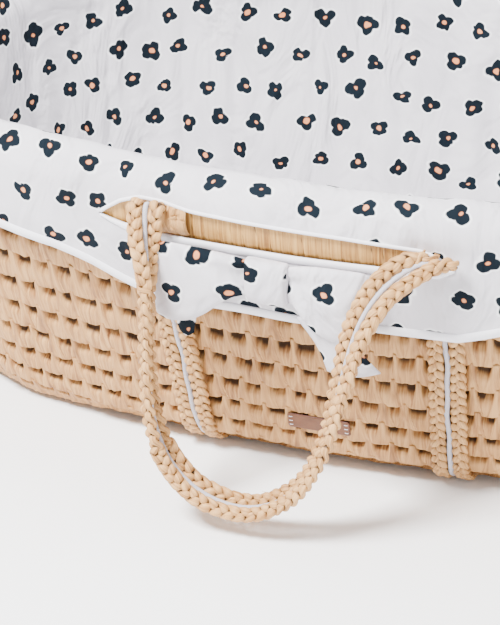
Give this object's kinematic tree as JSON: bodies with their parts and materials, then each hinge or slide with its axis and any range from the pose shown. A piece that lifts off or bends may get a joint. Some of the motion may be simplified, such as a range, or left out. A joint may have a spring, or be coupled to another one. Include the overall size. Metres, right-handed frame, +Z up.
{
  "type": "moses basket",
  "caption": "Oval corn husk baby basket with coiled wall, wrapped rim, cloth cover with bows, two plaited handles that swing, and a mattress that lifts out",
  "frame": {"origin": "on the floor under the middle of the basket", "axes": "+X along the basket's length, -Y towards the near handle, +Z up"},
  "size_m": [0.8412, 0.5994, 0.263],
  "materials": {
    "husk_weave": "dry twisted corn husk, light tan, matt with a soft sheen",
    "husk_wrap": "smooth flat corn husk wound tight, golden tan, satin",
    "husk_plait": "three-strand plaited corn husk, light tan, matt",
    "pole_wood": "bent rattan pole, hidden in the rim",
    "cotton_cord": "pale grey cotton cord, matt",
    "printed_cotton": "cool white cotton with dark blue and peach animal spots",
    "white_binding": "plain white cotton binding",
    "tan_leather": "tan leather with a dark painted edge, satin",
    "foam": "polyurethane foam, hidden in its cloth",
    "mattress_cloth": "white cotton cloth"
  },
  "bodies": {
    "basket": {"base_centre": "husk_weave", "base_coil_1": "husk_weave", "base_coil_2": "husk_weave", "base_coil_3": "husk_weave", "base_coil_4": "husk_weave", "bow_far_knot": "printed_cotton", "bow_far_loop_left": "printed_cotton", "bow_far_loop_right": "printed_cotton", "bow_far_tail_left": "printed_cotton", "bow_far_tail_right": "printed_cotton", "bow_near_knot": "printed_cotton", "bow_near_loop_left": "printed_cotton", "bow_near_loop_right": "printed_cotton", "bow_near_tail_left": "printed_cotton", "bow_near_tail_right": "printed_cotton", "cover_lining": "printed_cotton", "cover_rim": "printed_cotton", "cover_skirt": "printed_cotton", "hem_binding": "white_binding", "lashing_far_left": "husk_plait", "lashing_far_right": "husk_plait", "lashing_near_left": "husk_plait", "lashing_near_right": "husk_plait", "leather_tag": "tan_leather", "rim_pole": "pole_wood", "rim_wrap": "husk_wrap", "slot_binding_far": "white_binding", "slot_binding_near": "white_binding", "strap_far_left_plait_a": "husk_plait", "strap_far_left_plait_b": "husk_plait", "strap_far_right_plait_a": "husk_plait", "strap_far_right_plait_b": "husk_plait", "strap_left_cord": "cotton_cord", "strap_left_under_plait_a": "husk_plait", "strap_left_under_plait_b": "husk_plait", "strap_near_left_plait_a": "husk_plait", "strap_near_left_plait_b": "husk_plait", "strap_near_right_plait_a": "husk_plait", "strap_near_right_plait_b": "husk_plait", "strap_right_cord": "cotton_cord", "strap_right_under_plait_a": "husk_plait", "strap_right_under_plait_b": "husk_plait", "wall_course_1": "husk_weave", "wall_course_2": "husk_weave", "wall_course_3": "husk_weave", "wall_course_4": "husk_weave", "wall_course_5": "husk_weave", "wall_course_6": "husk_weave", "wall_course_7": "husk_weave", "wall_course_8": "husk_weave", "wall_course_9": "husk_weave"},
    "near_handle": {"handle_near_cord": "cotton_cord", "handle_near_plait_inner": "husk_plait", "handle_near_plait_outer": "husk_plait"},
    "far_handle": {"handle_far_cord": "cotton_cord", "handle_far_plait_inner": "husk_plait", "handle_far_plait_outer": "husk_plait"},
    "mattress": {"mattress_cover": "mattress_cloth", "mattress_pad": "foam"}
  },
  "joints": [
    {"name": "near_handle_swing", "type": "hinge", "parent": "basket", "child": "near_handle", "pos_m": [0, -0.248, 0.235], "axis": [-1, 0, 0], "range_deg": [0, 175]},
    {"name": "far_handle_swing", "type": "hinge", "parent": "basket", "child": "far_handle", "pos_m": [0, 0.248, 0.235], "axis": [1, 0, 0], "range_deg": [0, 175]},
    {"name": "mattress_lift", "type": "slide", "parent": "basket", "child": "mattress", "axis": [0, 0, 1], "range_m": [0, 0.24]}
  ]
}
